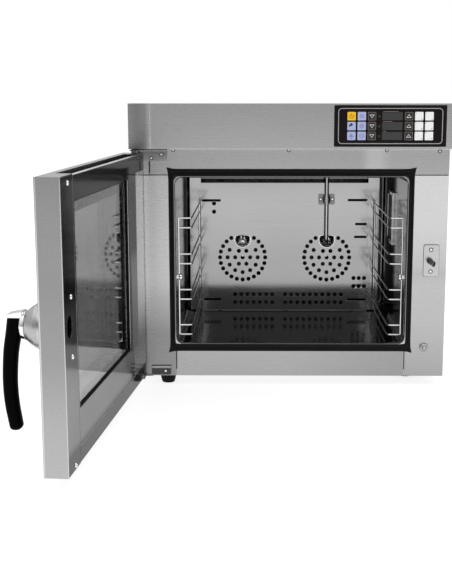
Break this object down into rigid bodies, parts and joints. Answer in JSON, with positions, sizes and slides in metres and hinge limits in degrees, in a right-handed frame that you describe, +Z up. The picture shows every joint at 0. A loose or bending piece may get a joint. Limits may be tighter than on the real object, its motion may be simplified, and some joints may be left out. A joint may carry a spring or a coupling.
{
  "type": "combi steamer oven",
  "caption": "Countertop stainless steel combi steamer oven with a side-hinged glazed door, wire tray racks, a perforated fan baffle and a keypad fascia.",
  "frame": {"origin": "on the worktop under the middle of the casing", "axes": "+Z up, -Y towards the user (the front), +X towards the strike side; the door is hinged at the -X side and stands open"},
  "size_m": [0.7854, 1.2696, 0.583],
  "materials": {
    "casing_steel": "brushed stainless steel sheet, fine straight grain",
    "cavity_steel": "bright stainless steel, lightly brushed",
    "chrome": "polished chrome plating",
    "door_glass": "clear toughened glass with a faint grey tint",
    "lamp_glass": "ribbed heat-resistant lamp glass",
    "seal_rubber": "black silicone rubber, satin",
    "foot_rubber": "black moulded rubber, matt",
    "grip_plastic": "black heat-resistant plastic, satin",
    "gland_plastic": "black nylon",
    "panel_black": "black gloss control foil",
    "motor_metal": "dark painted motor casing",
    "element_metal": "heat-darkened alloy tube",
    "key_yellow": "yellow key cap, satin",
    "key_lavender": "pale lavender key cap, satin",
    "key_black": "black key cap, satin",
    "key_white": "white key cap, satin"
  },
  "bodies": {
    "oven": {"casing_cover": "casing_steel", "base_tray": "casing_steel", "rear_panel": "casing_steel", "front_upper_plate": "casing_steel", "front_left_plate": "casing_steel", "front_right_plate": "casing_steel", "front_lower_plate": "casing_steel", "control_fascia": "casing_steel", "upper_hinge_bracket": "casing_steel", "lower_hinge_bracket": "casing_steel", "cavity_liner": "cavity_steel", "fan_baffle": "cavity_steel", "steam_pipe": "cavity_steel", "lamp_frame": "cavity_steel", "strike_plate": "cavity_steel", "water_inlet": "cavity_steel", "rack_left": "chrome", "rack_right": "chrome", "lamp_glass": "lamp_glass", "cavity_gasket": "seal_rubber", "foot_front_left": "foot_rubber", "foot_front_right": "foot_rubber", "foot_rear_left": "foot_rubber", "foot_rear_right": "foot_rubber", "cable_gland": "gland_plastic", "control_panel": "panel_black", "fan_motor_left": "motor_metal", "fan_motor_right": "motor_metal", "heating_element_left": "element_metal", "heating_element_right": "element_metal"},
    "door": {"door_outer_frame": "casing_steel", "door_outer_glass": "door_glass", "door_inner_frame": "casing_steel", "door_inner_glass": "door_glass", "door_window_seal": "seal_rubber", "handle_base": "chrome"},
    "handle": {"handle_hub": "chrome", "handle_grip": "grip_plastic", "latch_catch": "cavity_steel"},
    "fan_left": {"fan_wheel_left": "cavity_steel"},
    "fan_right": {"fan_wheel_right": "cavity_steel"},
    "door_switch": {"door_switch_plunger": "cavity_steel"},
    "key_power": {"key_power": "key_yellow"},
    "key_light": {"key_light": "key_lavender"},
    "key_fan": {"key_fan": "key_lavender"},
    "key_steam": {"key_steam": "key_lavender"},
    "key_convection": {"key_convection": "key_lavender"},
    "key_vent": {"key_vent": "key_lavender"},
    "key_down_1": {"key_down_1": "key_black"},
    "key_down_2": {"key_down_2": "key_black"},
    "key_down_3": {"key_down_3": "key_black"},
    "key_up_1": {"key_up_1": "key_black"},
    "key_up_2": {"key_up_2": "key_black"},
    "key_up_3": {"key_up_3": "key_black"},
    "key_temperature": {"key_temperature": "key_white"},
    "key_time": {"key_time": "key_white"},
    "key_humidity": {"key_humidity": "key_white"},
    "key_program": {"key_program": "key_white"},
    "key_store": {"key_store": "key_white"},
    "key_start": {"key_start": "key_white"}
  },
  "joints": [
    {"name": "door_hinge", "type": "hinge", "parent": "oven", "child": "door", "pos_m": [-0.31, -0.318, 0.25], "axis": [0, 0, -1], "range_deg": [-95, 15]},
    {"name": "door_switch_press", "type": "slide", "parent": "oven", "child": "door_switch", "axis": [0, 1, 0], "range_m": [0, 0.004], "stiffness_N_per_m": 400},
    {"name": "fan_left_spin", "type": "hinge", "parent": "oven", "child": "fan_left", "pos_m": [-0.1019, 0.1, 0.219], "axis": [0, 1, 0], "continuous": true},
    {"name": "fan_right_spin", "type": "hinge", "parent": "oven", "child": "fan_right", "pos_m": [0.0971, 0.1, 0.219], "axis": [0, 1, 0], "continuous": true},
    {"name": "handle_turn", "type": "hinge", "parent": "door", "child": "handle", "pos_m": [-0.3609, -0.89978, 0.254], "axis": [0.9962, -0.0872, 0], "range_deg": [0, 90]},
    {"name": "key_power_press", "type": "slide", "parent": "oven", "child": "key_power", "axis": [0, 1, 0], "range_m": [0, 0.0008], "stiffness_N_per_m": 300},
    {"name": "key_light_press", "type": "slide", "parent": "oven", "child": "key_light", "axis": [0, 1, 0], "range_m": [0, 0.0008], "stiffness_N_per_m": 300},
    {"name": "key_fan_press", "type": "slide", "parent": "oven", "child": "key_fan", "axis": [0, 1, 0], "range_m": [0, 0.0008], "stiffness_N_per_m": 300},
    {"name": "key_steam_press", "type": "slide", "parent": "oven", "child": "key_steam", "axis": [0, 1, 0], "range_m": [0, 0.0008], "stiffness_N_per_m": 300},
    {"name": "key_convection_press", "type": "slide", "parent": "oven", "child": "key_convection", "axis": [0, 1, 0], "range_m": [0, 0.0008], "stiffness_N_per_m": 300},
    {"name": "key_vent_press", "type": "slide", "parent": "oven", "child": "key_vent", "axis": [0, 1, 0], "range_m": [0, 0.0008], "stiffness_N_per_m": 300},
    {"name": "key_down_1_press", "type": "slide", "parent": "oven", "child": "key_down_1", "axis": [0, 1, 0], "range_m": [0, 0.0008], "stiffness_N_per_m": 300},
    {"name": "key_down_2_press", "type": "slide", "parent": "oven", "child": "key_down_2", "axis": [0, 1, 0], "range_m": [0, 0.0008], "stiffness_N_per_m": 300},
    {"name": "key_down_3_press", "type": "slide", "parent": "oven", "child": "key_down_3", "axis": [0, 1, 0], "range_m": [0, 0.0008], "stiffness_N_per_m": 300},
    {"name": "key_up_1_press", "type": "slide", "parent": "oven", "child": "key_up_1", "axis": [0, 1, 0], "range_m": [0, 0.0008], "stiffness_N_per_m": 300},
    {"name": "key_up_2_press", "type": "slide", "parent": "oven", "child": "key_up_2", "axis": [0, 1, 0], "range_m": [0, 0.0008], "stiffness_N_per_m": 300},
    {"name": "key_up_3_press", "type": "slide", "parent": "oven", "child": "key_up_3", "axis": [0, 1, 0], "range_m": [0, 0.0008], "stiffness_N_per_m": 300},
    {"name": "key_temperature_press", "type": "slide", "parent": "oven", "child": "key_temperature", "axis": [0, 1, 0], "range_m": [0, 0.0008], "stiffness_N_per_m": 300},
    {"name": "key_time_press", "type": "slide", "parent": "oven", "child": "key_time", "axis": [0, 1, 0], "range_m": [0, 0.0008], "stiffness_N_per_m": 300},
    {"name": "key_humidity_press", "type": "slide", "parent": "oven", "child": "key_humidity", "axis": [0, 1, 0], "range_m": [0, 0.0008], "stiffness_N_per_m": 300},
    {"name": "key_program_press", "type": "slide", "parent": "oven", "child": "key_program", "axis": [0, 1, 0], "range_m": [0, 0.0008], "stiffness_N_per_m": 300},
    {"name": "key_store_press", "type": "slide", "parent": "oven", "child": "key_store", "axis": [0, 1, 0], "range_m": [0, 0.0008], "stiffness_N_per_m": 300},
    {"name": "key_start_press", "type": "slide", "parent": "oven", "child": "key_start", "axis": [0, 1, 0], "range_m": [0, 0.0008], "stiffness_N_per_m": 300}
  ]
}
